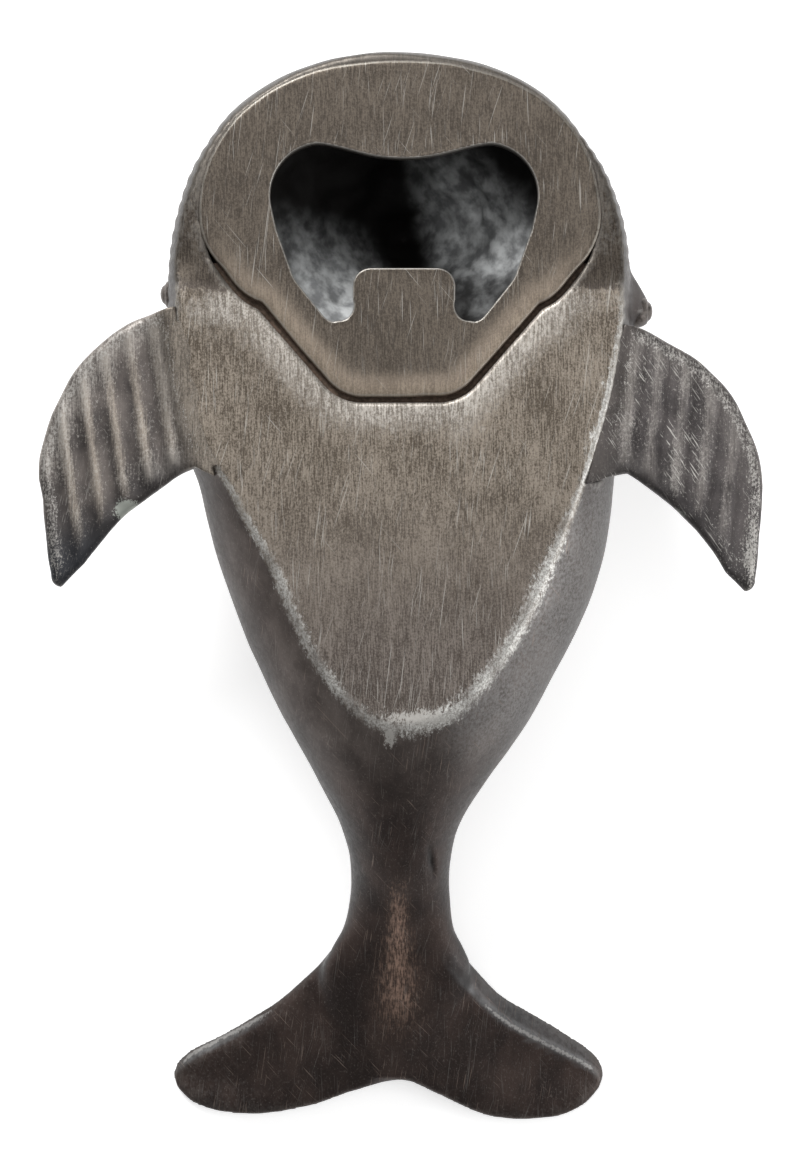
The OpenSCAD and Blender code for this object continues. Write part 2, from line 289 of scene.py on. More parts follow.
def curve(table, column, at):
    """A smooth curve through one column of a table, along its first column."""
    t, v = table[:, 0], table[:, column]
    slope = np.zeros(len(t))
    slope[1:-1] = (v[2:] - v[:-2]) / (t[2:] - t[:-2])
    if t[0] > t[-1]:
        t, v, slope = t[::-1], v[::-1], slope[::-1]
    at = np.clip(at, t[0], t[-1])
    i = np.clip(np.searchsorted(t, at, side="right") - 1, 0, len(t) - 2)
    h = t[i + 1] - t[i]
    u = (at - t[i]) / h
    start = v[i] * (1 + 2 * u) + slope[i] * h * u
    end = v[i + 1] * (3 - 2 * u) - slope[i + 1] * h * (1 - u)
    return start * (1 - u) ** 2 + end * u * u


def outline_distance(points, x, y):
    """Signed distance from a closed outline of straight steps, negative inside."""
    nearest = np.full(np.broadcast(x, y).shape, 1e9)
    inside = np.zeros(nearest.shape, bool)
    for (ax, ay), (bx, by) in zip(points, np.roll(points, -1, axis=0)):
        ex, ey = bx - ax, by - ay
        length = max(ex * ex + ey * ey, 1e-12)
        t = np.clip(((x - ax) * ex + (y - ay) * ey) / length, 0, 1)
        nearest = np.minimum(nearest, (x - ax - t * ex) ** 2 + (y - ay - t * ey) ** 2)
        if ay != by:
            crosses = (y >= min(ay, by)) & (y < max(ay, by))
            inside ^= crosses & (x < ax + (y - ay) * ex / ey)
    return np.where(inside, -1, 1) * np.sqrt(nearest)


def direction(angle):
    return np.array([math.cos(angle), math.sin(angle)])


def superellipse_point(angle, power):
    c, s = direction(angle)
    return np.array([
        np.sign(c) * np.abs(c) ** (2 / power), np.sign(s) * np.abs(s) ** (2 / power)
    ])


# ---------------------------------------------------------------- outlines in plan
def plate_outline(x, y):
    """The plate's outer edge: a wide round part and a tongue behind it."""
    power = 2.2
    round_part = np.array([
        superellipse_point(math.radians(a), power)
        * (PLATE_HALF, PLATE_FRONT if a < 180 else PLATE_BACK) + (0, PLATE_Y)
        for a in range(0, 360, 4)
    ])
    (wide, ahead), (narrow, behind) = TONGUE_START, TONGUE_END
    corners = np.array([
        (-wide, PLATE_Y), (wide, PLATE_Y), (wide, ahead),
        (narrow, behind), (-narrow, behind), (-wide, ahead),
    ])
    inner = shrink(corners, TONGUE_CORNER_R)
    tongue = outline_distance(inner, x, y) - TONGUE_CORNER_R
    return soft_min(outline_distance(round_part, x, y), tongue, 1.2)


def shrink(corners, by):
    """A convex outline, given clockwise, with every side moved inward."""
    lines = []
    for a, b in zip(corners, np.roll(corners, -1, axis=0)):
        normal = np.array([b[1] - a[1], a[0] - b[0]])
        normal /= np.linalg.norm(normal)
        lines.append((normal, normal @ a + by))
    before = lines[-1:] + lines[:-1]
    return np.array([
        np.linalg.solve(np.array([n0, n1]), np.array([c0, c1]))
        for (n0, c0), (n1, c1) in zip(before, lines)
    ])


def opening_outline(x, y):
    """The opening for the cap, with its lifting tab and the bulge across from it."""
    x = x - OPENER_X
    hull = []
    circles = [(side * cx, cy, r) for cx, cy, r in LOBES for side in (-1, 1)]
    for degrees in range(0, 360, 3):
        n = direction(math.radians(degrees))
        cx, cy, r = max(circles, key=lambda c: c[0] * n[0] + c[1] * n[1] + c[2])
        hull.append((cx + r * n[0], cy + r * n[1]))
    opening = outline_distance(np.array(hull), x, y)
    fulcrum = np.hypot(x, y - TAB_Y - TAB_GAP - FULCRUM_R) - FULCRUM_R
    tab = np.hypot(
        np.maximum(np.abs(x) - TAB_HALF + TAB_R, 0), np.maximum(y - TAB_Y + TAB_R, 0)
    ) - TAB_R
    lobe_x, lobe_y, lobe_r = LOBES[-1]
    tab = np.minimum(tab, np.maximum(np.abs(x) - lobe_x, y - lobe_y))
    for side in (-1, 1):
        tab = np.maximum(tab, lobe_r - np.hypot(x - side * lobe_x, y - lobe_y))
    opening = soft_max(opening, -fulcrum, 1.2)
    return soft_max(opening, -tab, 0.5)


def fin_points(side):
    """The outline of a fin, from the root's front around the tip and back."""
    lead = [
        superellipse_point(math.radians(a), LEAD_POWER)
        * (FIN_REACH - FIN_ROOT, LEAD_REACH[side]) + (FIN_ROOT, LEAD_CENTRE)
        for a in range(84, -1, -4)
    ]
    tip = [
        FIN_TIP_R * direction(math.radians(a)) + FIN_TIP[side]
        for a in range(10, -91, -20)
    ]
    r = TRAIL_R[side]
    start, end = (math.asin((v - TRAIL_CENTRE[1]) / r) for v in (3.4, 14.2))
    trail = [r * direction(a) + TRAIL_CENTRE for a in np.linspace(start, end, 12)]
    root = [(FIN_ROOT + x, y) for x, y in root_line(side)]
    return np.array([*lead, *tip, *trail, *root])


def root_line(side):
    """A fin's inner edge from behind to ahead, with x counted from its root."""
    return [*INNER_EDGE, (1.3, LEAD_CENTRE + 0.94 * LEAD_REACH[side])]


# ---------------------------------------------------------------- mesh from a field
TRIANGLES_MOST = 190000


def mesh_from(name, grid, field, place=None):
    """Builds a smooth mesh object on a field's zero surface, facing outward.

    Place moves its points, and may mirror them.
    """
    level = openvdb.FloatGrid()
    level.copyFromArray(np.ascontiguousarray(field.astype(np.float32)))
    points, quads = level.convertToQuads(isovalue=0.0)
    points = grid.low + points * grid.step
    if place is not None:
        points = place(points)
    a, b, c, d = (points[quads[:, i]] for i in range(4))
    if np.sum((np.cross(b - a, c - a) + np.cross(c - a, d - a)) * a) < 0:
        quads = quads[:, ::-1]
    mesh = bpy.data.meshes.new(name)
    mesh.from_pydata((points * MM).tolist(), [], quads.tolist())
    piece = bpy.data.objects.new(name, mesh)
    bpy.context.scene.collection.objects.link(piece)
    if 2 * len(quads) > TRIANGLES_MOST:
        thin = piece.modifiers.new("thin", "DECIMATE")
        thin.ratio = TRIANGLES_MOST / (2 * len(quads))
        bpy.context.view_layer.update()
        shape = bpy.data.meshes.new_from_object(
            piece.evaluated_get(bpy.context.evaluated_depsgraph_get())
        )
        piece.modifiers.clear()
        piece.data = shape
        bpy.data.meshes.remove(mesh)
        shape.name = name
    piece.data.polygons.foreach_set("use_smooth", np.ones(len(piece.data.polygons), bool))
    piece.data.update()
    return piece


def points_of(piece):
    flat = np.zeros(len(piece.data.vertices) * 3, np.float32)
    piece.data.vertices.foreach_get("co", flat)
    return flat.reshape(-1, 3).astype(float) / MM


def steepness(piece):
    """1 where a surface stands upright or hangs over, 0 where it faces up."""
    flat = np.zeros(len(piece.data.vertices) * 3, np.float32)
    piece.data.vertices.foreach_get("normal", flat)
    return ramp(flat[2::3], 0.8, 0.25)


def paint(piece, **masks):
    """Stores a number at every vertex, for the materials to read."""
    for name, values in masks.items():
        layer = piece.data.attributes.new(name, "FLOAT", "POINT")
        layer.data.foreach_set("value", np.asarray(values, np.float32).ravel())


def edge_masks(grid, field, scale):
    """How far the surface bulges at a scale in millimetres: positive on edges."""
    passes = max(1, round(2 * (scale / grid.step) ** 2))
    limit = 3 * scale
    near = np.clip(field, -limit, limit)
    return (blur(near, passes) - near) / scale


# ---------------------------------------------------------------- body
BODY_STEP = 0.32


def body_form(grid):
    """Head, trunk and tail stock before anything is cut."""
    behind = np.minimum(grid.axes[1], HEAD_Y)
    shift, half, widest, belly, back, power = (
        curve(SECTIONS, column, behind).astype(np.float32)[None, :, None]
        for column in range(1, 7)
    )
    widest = widest * BELLY_Z
    up = belly * BELLY_Z - widest
    down = widest - back * BELLY_Z
    ahead = np.maximum(grid.y - HEAD_Y, 0) / HEAD_L
    tall = np.where(grid.z > widest, (grid.z - widest) / up, (widest - grid.z) / down)
    across = np.abs(grid.x - shift) / (half * HEAD_HALF)
    form = (across ** power + tall ** power + ahead ** power) ** (1 / power) - 1
    form = grid.distance(form)
    return np.maximum(form, SECTIONS[-1, 0] - grid.y)


def flukes(grid):
    """Both flukes: a round leading edge and a thinner trailing edge."""
    x = grid.axes[0]
    skewed = 2 * abs(FLUKE_X)
    near = np.where(x > 0, x / (FLUKE_HALF - skewed), -x / (FLUKE_HALF + skewed))
    far = np.abs(x - FLUKE_X) / FLUKE_HALF
    share = np.where(near < 0.5, near, far)
    side = np.sign(x)
    u = np.clip(share, 0, 1)
    swing = np.sin(np.pi * u)
    lead = curve(FLUKE_SECTIONS, 1, u) + side * FLUKE_SKEW * swing
    trail = curve(FLUKE_SECTIONS, 2, u) - 0.3 * (1 + side) * swing
    thick = FLUKE_TIP_T + (FLUKE_T - FLUKE_TIP_T) * (1 - u) ** 1.3
    mid = thick / 2 + 2.6 * (1 - u) ** 1.5
    u, lead, trail, thick, mid = (
        v.astype(np.float32)[:, None, None] for v in (u, lead, trail, thick, mid)
    )
    v = (grid.y - trail) / (lead - trail)
    v_in = np.clip(v, 0, 1)
    centre = mid + 3 * (v_in - 0.3) * (1 - u)
    half_t = thick / 2 * (0.6 + 0.4 * v_in)
    power = 2.3
    form = (
        np.abs(2 * v - 1) ** power + np.abs((grid.z - centre) / half_t) ** power
    ) ** (1 / power) - 1
    form = np.clip(grid.distance(form), -8, 8)
    inset = lead - grid.y
    bevel_w = 2.4 * np.clip(2.2 * u, 0, 1)
    bevel = grid.z - (centre + half_t) - 0.75 * (inset - bevel_w)
    form = soft_max(form, bevel * 0.8, 0.35)
    dish = 0.5 * np.sin(np.pi * np.clip((1 - v - 0.12) / 0.88, 0, 1)) * np.clip(1.5 * u, 0, 1)
    form = soft_max(form, grid.z - (centre + half_t - dish), 0.6)
    past_tip = ((share - 1.01) * FLUKE_HALF).astype(np.float32)[:, None, None]
    return soft_max(form, past_tip, 1.0)


def on_fluke(at):
    """Each point's share of the half span, and how far it lies behind the edge."""
    share = np.abs(at[:, 0] - FLUKE_X) / FLUKE_HALF
    return share, curve(FLUKE_SECTIONS, 1, np.clip(share, 0, 1)) - at[:, 1]


def lit_fluke_bevel(at):
    """Painted highlight on the flukes' leading edges: how bright they are drawn, at points
    given in millimetres.
    """
    share, inset = on_fluke(at)
    right = ramp(inset, 3.0, 2.2) * (0.6 + 0.4 * ramp(inset, 1.2, 2.2))
    left = 0.9 * ramp(np.abs(inset - 1.3), 0.8, 0.2) * ramp(share, 0.5, 0.7)
    where = ramp(share, 0.2, 0.45) * ramp(share, 1.02, 0.9) * ramp(at[:, 1], -37, -41)
    return np.where(at[:, 0] > FLUKE_X, right, left) * where


def fluke_crest(at):
    """1 on the thin painted highlights along the flukes' leading edges."""
    share, inset = on_fluke(at)
    left = ramp(np.abs(inset - 1.1), 0.5, 0.1) * ramp(share, 0.45, 0.6)
    right = ramp(np.abs(inset - 2.2), 0.5, 0.1) * ramp(share, 0.35, 0.5)
    return np.where(at[:, 0] > FLUKE_X, right, left) * ramp(share, 0.99, 0.93)


def jaw_top(x, y):
    """Height of the belly, and of the jaw's rim that falls away beside the plate."""
    r = np.hypot(x, y - HEAD_Y)
    fall = JAW_DROP + (r - PLATE_HALF) * JAW_SLOPE
    return BELLY_Z - ramp(y, JAW_Y - 1.0, JAW_Y + 4.0) * fall


def head_hollow(grid):
    """The rough hollow behind the opening, and the tunnel back into the trunk."""
    plan_power, power = 2.2, CAVITY_SQUARE
    across = (
        np.abs((grid.x - OPENER_X) / CAVITY[0]) ** plan_power
        + np.abs((grid.y - CAVITY_Y) / CAVITY[1]) ** plan_power
    ) ** (1 / plan_power)
    deep = np.abs((grid.z - PLATE_LOW[2]) / CAVITY[2])
    form = (across ** power + deep ** power) ** (1 / power) - 1
    hollow = np.clip(grid.distance(form), -8, 8)
    past_end = np.minimum(grid.y - TUNNEL_END, 0) + np.maximum(grid.y - TUNNEL_START, 0)
    tunnel = np.sqrt(grid.x ** 2 + (grid.z - TUNNEL_Z) ** 2 + past_end ** 2) - TUNNEL_R
    hollow = soft_min(hollow, tunnel, 1.2)
    rough = 0.2 * grid.noise(3.0, 11) + 0.16 * grid.noise(1.3, 12)
    return hollow + rough


def fin_zone(grid, side):
    """The fin's seat in the flank, from the blade's under face upward."""
    out = side * grid.x[:, :, 0]
    plan = outline_distance(fin_points(side), out, grid.y[:, :, 0] - FIN_SHIFT[side])
    under = FIN_Z - math.tan(FIN_TILT) * (side * grid.x - FIN_ROOT) - FIN_T
    seat = plan - HIDDEN
    if side < 0:
        seat = np.maximum(seat, 0.9 - (out - inner_edge(grid.y[:, :, 0] - FIN_SHIFT[side])))
    return np.maximum(seat[:, :, None], under - grid.z)


def inner_edge(y):
    """X of a fin's inner edge, in the fin's own frame."""
    (x0, y0), (x1, y1), (x2, y2) = root_line(-1)
    return FIN_ROOT + np.interp(y, (y0, y1, y2), (x0, x1, x2))


def flutes(grid):
    """Shallow upright flutes around the side of the head."""
    angle = np.arctan2(np.abs(grid.x), np.maximum(grid.y - HEAD_Y, 0.01))
    girth = HEAD_HALF * angle + np.maximum(HEAD_Y - grid.y, 0)
    pitch = 1.6
    profile = np.abs(np.cos(np.pi * girth / pitch)) - 0.6
    where = ramp(grid.y, 20, 30) * ramp(grid.y, 57, 51) * ramp(grid.z, 13.5, 15.5)
    return 0.15 * profile * where


def brows(grid, form):
    """The raised brow around each eye."""
    for side, centre in EYES.items():
        reach, ahead, behind, up = BROW[side]
        power = BROW_POWER[side]
        across = (grid.x - centre[0] + side * BROW_DEPTH) / reach
        along = (grid.y - centre[1]) / np.where(grid.y > centre[1], ahead, behind)
        tall = (grid.z - centre[2]) / up
        size = sum(np.abs(v) ** power for v in (across, along, tall))
        mound = grid.distance(size ** (1 / power) - 1)
        form = soft_min(form, np.clip(mound, -4, 6), 0.6)
    return form


def groove_width(y):
    """Room between the plate and the casting: a groove behind, a close fit ahead."""
    return HIDDEN + (GROOVE_W - HIDDEN) * ramp(y, 41.0, 35.5)


def crease_at(x, y, width, length):
    """1 along the short crease in the right side of the tail stock."""
    middle = CREASE[0] + CREASE_LEAN * (y - CREASE[1])
    return np.exp(-(((x - middle) / width) ** 2) - ((y - CREASE[1]) / length) ** 2)


def carve_body(grid, plan, hollow):
    """The skin as if nothing were cut, and the form with everything cut into it."""
    outer = soft_min(body_form(grid), flukes(grid), 1.4) - flutes(grid)
    outer = brows(grid, outer)
    outer = outer + 0.10 * grid.noise(7.0, 21) + 0.03 * grid.noise(2.2, 22)
    mouth_z = MOUTH_Z - MOUTH_SAG * (grid.y - HEAD_Y) ** 2
    mouth = np.exp(-(((grid.z - mouth_z) / MOUTH_W) ** 2)) * ramp(grid.y, 16, 22)
    crease = crease_at(grid.x, grid.y, 0.28, 1.6) * ramp(grid.z, 10, 14)
    outer = outer + 0.4 * mouth + 0.35 * crease
    top = jaw_top(grid.x, grid.y) - 0.03 * grid.noise(9.0, 23)[:, :, :1]
    form = soft_max(outer, grid.z - top, 0.3)
    room = groove_width(grid.y[:, :, 0])
    seat = np.maximum((plan - room)[:, :, None], PLATE_LOW[2] - grid.z)
    form = soft_max(form, -seat, 0.12)
    form = soft_max(form, -hollow, 0.5)
    for side in EYES:
        form = soft_max(form, -fin_zone(grid, side), 0.1)
    return outer, form


def brow_shade(at):
    """Painted shade: 1 on the brow around each eye, which is drawn darker."""
    beside = ramp(np.abs(at[:, 0]), HEAD_HALF - 1.6, HEAD_HALF - 0.6)
    return beside * sum(
        ramp(np.linalg.norm((at - centre) * (1, 0.8, 1), axis=1), 5.5, 3.5)
        for centre in EYES.values()
    )


def fin_ridge(at):
    """1 along the bright line where the belly meets the right fin's root."""
    x, y = at[:, 0], at[:, 1]
    beside = ramp(np.abs(x - inner_edge(y - FIN_SHIFT[1]) + 0.2), 0.7, 0.1)
    ends = ramp(y, 11, 14) * (0.75 + 0.25 * ramp(y, 28, 22)) * ramp(y, 38, 30)
    return beside * ends * (x > 0)


def hollow_light(at):
    """Painted light and shade in the hollow: black in its middle and ahead, lit behind and at
    the sides.
    """
    x, y = at[:, 0], at[:, 1]
    left = ramp(y, 48.0, 38.0) * (0.5 + 0.5 * ramp(y, 42.5, 35.5))
    right = 1.2 * ramp(x + y, 65, 50) * (0.65 + 0.3 * ramp(y, 48, 40))
    right = right * (1 - 0.76 * ramp(y, 40.0, 35.0))
    middle = 1.4 - 0.25 * (y - 37)
    return np.where(x < middle, left, right) * (1 - np.exp(-(((x - middle) / 4.4) ** 2)))


def tail_rub(at):
    """1 along the worn middle of the tail, which widens towards the flukes."""
    x, y = at[:, 0], at[:, 1]
    spread = 1.3 + 1.3 * ramp(y, -35, -47)
    return np.exp(-(((x + 0.2) / spread) ** 2)) * ramp(y, -29, -37) * ramp(y, -54, -46)


def make_body():
    """The whole casting, with the numbers that its patina, wear and painted light and shade are
    drawn from.
    """
    margin = 2.6
    grid = Grid(BODY_LOW - margin, BODY_HIGH + margin, BODY_STEP)
    plan = plate_outline(grid.x[:, :, 0], grid.y[:, :, 0]).astype(np.float32)
    hollow = head_hollow(grid)
    outer, form = carve_body(grid, plan, hollow)
    piece = mesh_from("whale_body_cast", grid, form)
    at = points_of(piece)
    x, y, z = at.T
    upper = ramp(z, BELLY_Z - 3.0, BELLY_Z - 2.0)
    flat = ramp(z, BELLY_Z - 0.55, BELLY_Z - 0.25) * ramp(y, JAW_Y + 2.5, JAW_Y + 1.5)
    behind_jaw = ramp(y, JAW_Y + 1.6, JAW_Y - 1.4)
    near_plate = ramp(grid.sample_plan(plan, at), 6.0, 1.0)
    on_left_fin = ramp(x, -15, -17) * ramp(y, 10.5, 13) * ramp(y, 35, 32)
    paint(
        piece,
        bulge=grid.sample(edge_masks(grid, form, 0.7), at) * (1 - on_left_fin),
        broad=grid.sample(edge_masks(grid, form, 2.2), at),
        off_flat=grid.sample(outer, np.column_stack([x, y, np.full(len(at), BELLY_Z)])),
        inside=ramp(grid.sample(hollow, at), 1.2, 0.4),
        # painted light and shade inside the hollow
        clean=hollow_light(at),
        upper=upper,
        ground=upper * flat,
        ridge=upper * fin_ridge(at),
        behind_jaw=behind_jaw,
        lid=1 - behind_jaw,
        near_groove=np.maximum(near_plate, spot(at, FROST)) * behind_jaw,
        wear=np.where(x > 0, ramp(y, 16, 2), 0.45 * ramp(y, 16, 6)),
        smear=np.maximum.reduce([strength * spot(at, place) for strength, place in SMEARS]),
        aft=ramp(y, 18, -10),
        rear=ramp(y, -12, -28),
        rub=tail_rub(at),
        bevel=lit_fluke_bevel(at),
        crest=fluke_crest(at),
        crease=crease_at(x, y, 0.35, 1.7) * ramp(z, 10, 14),
        brow=brow_shade(at),
        # painted light: the right flank is drawn paler, as if lit from the right
        pale=ramp(x, 3, 8) * ramp(y, 28, 6) * ramp(y, -22, -12),
        steep=steepness(piece),
        # painted shade: how dark upright sides are drawn, more behind, on the left and at the
        # head's sides
        shade=0.3 + 0.25 * ramp(y, -12, -30) + 0.15 * ramp(x, 4, -4) + 0.15 * ramp(y, 28, 32),
    )
    return piece


# ---------------------------------------------------------------- plate and its solder
PLATE_STEP = 0.16


def make_plate():
    """The opener plate: rolled edge behind, crisp edges ahead, a burr at the opening."""
    margin = 0.6
    grid = Grid(PLATE_LOW - margin, PLATE_HIGH + margin, PLATE_STEP)
    x, y = grid.x[:, :, 0], grid.y[:, :, 0]
    plan = plate_outline(x, y) + 0.05 * grid.noise(2.6, 31)[:, :, 0]
    opening = opening_outline(x, y)
    inset = np.maximum(-plan, 0)
    behind = ramp(y, 42, 31)
    roll = 0.4 * behind * np.clip(1 - inset / 2.4, 0, 1) ** 2.2
    roll = roll + 0.15 * (1 - behind) * np.clip(1 - inset / 0.7, 0, 1) ** 2
    lip = 0.06 * np.exp(-(((opening - 0.15) / 0.18) ** 2))
    face = PLATE_HIGH[2] - 0.03 - roll + lip
    shape = soft_max(plan[:, :, None], grid.z - face[:, :, None], 0.2)
    shape = soft_max(shape, PLATE_LOW[2] - grid.z, 0.1)
    shape = soft_max(shape, -opening[:, :, None], 0.12)
    piece = mesh_from("opener_plate_cast", grid, shape)
    at = points_of(piece)
    rolled = behind * ramp(inset, 3.4, 0.3)
    top = ramp(at[:, 2], PLATE_HIGH[2] - 1.1, PLATE_HIGH[2] - 0.9)
    paint(
        piece,
        ground=top,
        rolled=grid.sample_plan(rolled, at),
        hole_edge=ramp(grid.sample_plan(opening, at), 0.28, 0.08) * top,
        rim=ramp(np.abs(grid.sample_plan(plan, at) + 0.22), 0.25, 0.05) * top,
    )
    return piece


def make_seam():
    """Solder and residue lying in the groove behind the plate."""
    low, high = node_box("plate_solder_seam")
    grid = Grid(low - 0.5, high + 0.5, PLATE_STEP)
    x, y = grid.x[:, :, 0], grid.y[:, :, 0]
    plan = plate_outline(x, y)
    half = groove_width(y) / 2
    into_walls = 0.2
    band = np.maximum(np.abs(plan - half) - half - into_walls, y - GROOVE_END)
    meniscus = 0.25 * (2 * plan / GROOVE_W - 1) ** 2
    level = high[2] - 0.5 + meniscus + 0.14 * grid.noise(1.1, 41)[:, :, 0]
    shape = soft_max(band[:, :, None], grid.z - level[:, :, None], 0.12)
    shape = np.maximum(shape, low[2] - grid.z)
    piece = mesh_from("plate_solder_seam_cast", grid, shape)
    paint(piece, bulge=grid.sample(edge_masks(grid, shape, 0.4), points_of(piece)))
    return piece


# ---------------------------------------------------------------- fins
FIN_STEP = 0.18


def at_fin(side):
    """Moves a fin's own points to its place, as its root, tilt and side say."""
    c, s = math.cos(FIN_TILT), math.sin(FIN_TILT)

    def place(points):
        x, y, z = points[:, 0] - FIN_ROOT, points[:, 1], points[:, 2]
        return np.column_stack([
            side * (FIN_ROOT + x * c + z * s), y + FIN_SHIFT[side], FIN_Z - x * s + z * c
        ])

    return place


def make_fin(name, side):
    """A thin blade with rays on both faces, and the tongue that holds it."""
    low = (FIN_ROOT - 5, -0.5, -FIN_T - 0.8)
    grid = Grid(low, (FIN_REACH + 1, 33.5, 0.9), FIN_STEP)
    x, y = grid.x[:, :, 0], grid.y[:, :, 0]
    plan = outline_distance(fin_points(side), x, y) + 0.09 * grid.noise(3.0, 51 + side)[:, :, 0]
    # The left blade runs on under the belly's face, so that no line shows between them
    if side < 0:
        behind_edge = np.maximum(np.abs(x - inner_edge(y)) - 0.9, np.abs(y - 22.4) - 8.0)
        plan = np.minimum(plan, behind_edge)
    ray = (x - FIN_ROOT - 0.5 - (y - 4) * RAY_LEAN[side]) / RAY_PITCH
    ray = ray + 0.05 * grid.noise(8.0, 61 + side)[:, :, 0]
    ridge = (0.5 + 0.5 * np.cos(2 * np.pi * ray)) ** 1.4
    fade = ramp(-plan, 0.2, 1.8) * ramp(ray, -0.6, -0.1) * ramp(ray, 5.4, 4.6)
    uneven = 0.9 + 0.2 * grid.noise(4.0, 71 + side)[:, :, 0]
    rise = RAY_RISE * ridge * fade * uneven
    sunk = 0.15 * fade
    from_root = x - inner_edge(y)
    free = ramp(from_root, 0.8, 3.5)
    upper = rise - sunk - 0.35 * free * np.clip(1 + plan / 1.2, 0, 1) ** 2
    over = 0.05 * np.clip(from_root / 0.5, -2.0, 1.0)
    to_belly = BELLY_Z + over - FIN_Z + (x - FIN_ROOT) * math.sin(FIN_TILT)
    flush = {-1: 1.0, 1: 0.45}[side] * ramp(from_root, 4.5, 0.8)
    upper = upper + to_belly * flush
    along = np.clip((x - FIN_ROOT) / (FIN_REACH - FIN_ROOT), 0, 1)
    lower = -FIN_T + 0.9 * along + 0.3 * np.clip(1 + plan / 1.3, 0, 1) ** 2 - rise
    round_off = (0.08 + 0.42 * free)[:, :, None]
    blade = soft_max(plan[:, :, None], grid.z - upper[:, :, None], round_off)
    blade = soft_max(blade, lower[:, :, None] - grid.z, round_off)
    blade = blade + 0.03 * grid.noise(1.6, 81 + side)
    depth, start, length, thick = TONGUE
    tongue = np.maximum(
        np.maximum(FIN_ROOT - depth - grid.x, grid.x - FIN_ROOT - 2),
        np.maximum(
            np.abs(grid.y - start - length / 2) - length / 2,
            np.abs(grid.z + FIN_T / 2) - thick / 2,
        ),
    )
    shape = soft_min(blade, tongue, 0.1)
    piece = mesh_from(name, grid, shape, at_fin(side))
    own = own_points(piece, side)
    plan_at = grid.sample_plan(plan, own)
    to_root = own[:, 0] - inner_edge(own[:, 1])
    off_root = ramp(to_root, 0.6, 2.0)
    to_trail = np.hypot(*(own[:, :2] - TRAIL_CENTRE).T) - TRAIL_R[side]
    band = ramp(plan_at, -2.4, -1.2) * ramp(plan_at, -0.1, -0.5)
    paint(
        piece,
        bulge=grid.sample(edge_masks(grid, shape, 0.5), own) * off_root,
        rim=band * off_root * ramp(to_trail, 1.0, 3.0),
        lead=ramp(plan_at, -6.5, -1.0) * ramp(own[:, 1], 9, 15) * off_root,
        root=ramp(to_root, 4.5, 0.5),
        tip=ramp(own[:, 1], 11, 3.5),
        trail=ramp(to_trail, 4.5, 0.5),
        chip=spot(own, FIN_CHIP),
        ray=grid.sample_plan(ridge * fade, own),
    )
    return piece


def own_points(piece, side):
    """A placed fin's points, brought back to the fin's own frame."""
    at = points_of(piece)
    c, s = math.cos(FIN_TILT), math.sin(FIN_TILT)
    out = side * at[:, 0] - FIN_ROOT
    up = at[:, 2] - FIN_Z
    return np.column_stack([
        FIN_ROOT + out * c - up * s, at[:, 1] - FIN_SHIFT[side], out * s + up * c
    ])


def make_bead(name, side):
    """The run of solder under a fin's root."""
    lean = math.radians(4)
    grid = Grid(
        (BEAD_START[0] - 2, BEAD_START[1] - 2.5, -FIN_T - 2.3),
        (BEAD_START[0] + 3, BEAD_START[1] + BEAD_L + 2.5, -FIN_T + 0.5),
        FIN_STEP,
    )
    x = grid.x - BEAD_START[0]
    y = grid.y - BEAD_START[1]
    along = np.clip(x * math.sin(lean) + y * math.cos(lean), 0, BEAD_L)
    shape = np.sqrt(
        (x - along * math.sin(lean)) ** 2 + (y - along * math.cos(lean)) ** 2
        + (grid.z + FIN_T + 0.3) ** 2
    ) - BEAD_R
    shape = shape + 0.10 * grid.noise(1.5, 91 + side)
    shape = soft_max(shape, grid.z + FIN_T + 0.02, 0.1)
    piece = mesh_from(name, grid, shape, at_fin(side))
    paint(piece, bulge=grid.sample(edge_masks(grid, shape, 0.5), own_points(piece, side)))
    return piece


# ---------------------------------------------------------------- eyes
EYE_STEP = 0.09


def make_eye(name, side):
    """A round-headed pin: the head shows, and the shank is pressed into the casting."""
    reach = EYE_R + 0.5
    grid = Grid((-reach, -reach, -EYE_R - SHANK_L - 0.4), (reach, reach, reach), EYE_STEP)
    r = np.sqrt(grid.x ** 2 + grid.y ** 2)
    ball = np.sqrt(r ** 2 + grid.z ** 2) - EYE_R
    ring = 0.10 * np.exp(-(((r - 1.15) / 0.16) ** 2)) * ramp(grid.z, 0.2, 0.8)
    ball = ball + ring + 0.02 * grid.noise(0.8, 101 + side)
    shank = np.maximum(r - SHANK_R, np.maximum(grid.z, -EYE_R - SHANK_L - grid.z))
    shape = soft_min(ball, shank, 0.2)
    centre = EYES[side]

    def place(points):
        x, y, z = points.T
        return centre + np.column_stack([side * z, y, -side * x])

    piece = mesh_from(name, grid, shape, place)
    local = points_of(piece) - centre
    own = np.column_stack([-side * local[:, 2], local[:, 1], side * local[:, 0]])
    paint(piece, bulge=grid.sample(edge_masks(grid, shape, 0.3), own))
    return piece


# ---------------------------------------------------------------- materials
def rgb(red, green, blue):
    """A colour given as it looks on a screen, 0 to 255, made linear for the shader."""
    return tuple(
        v / 12.92 if v <= 0.04045 else ((v + 0.055) / 1.055) ** 2.4
        for v in (red / 255, green / 255, blue / 255)
    ) + (1.0,)


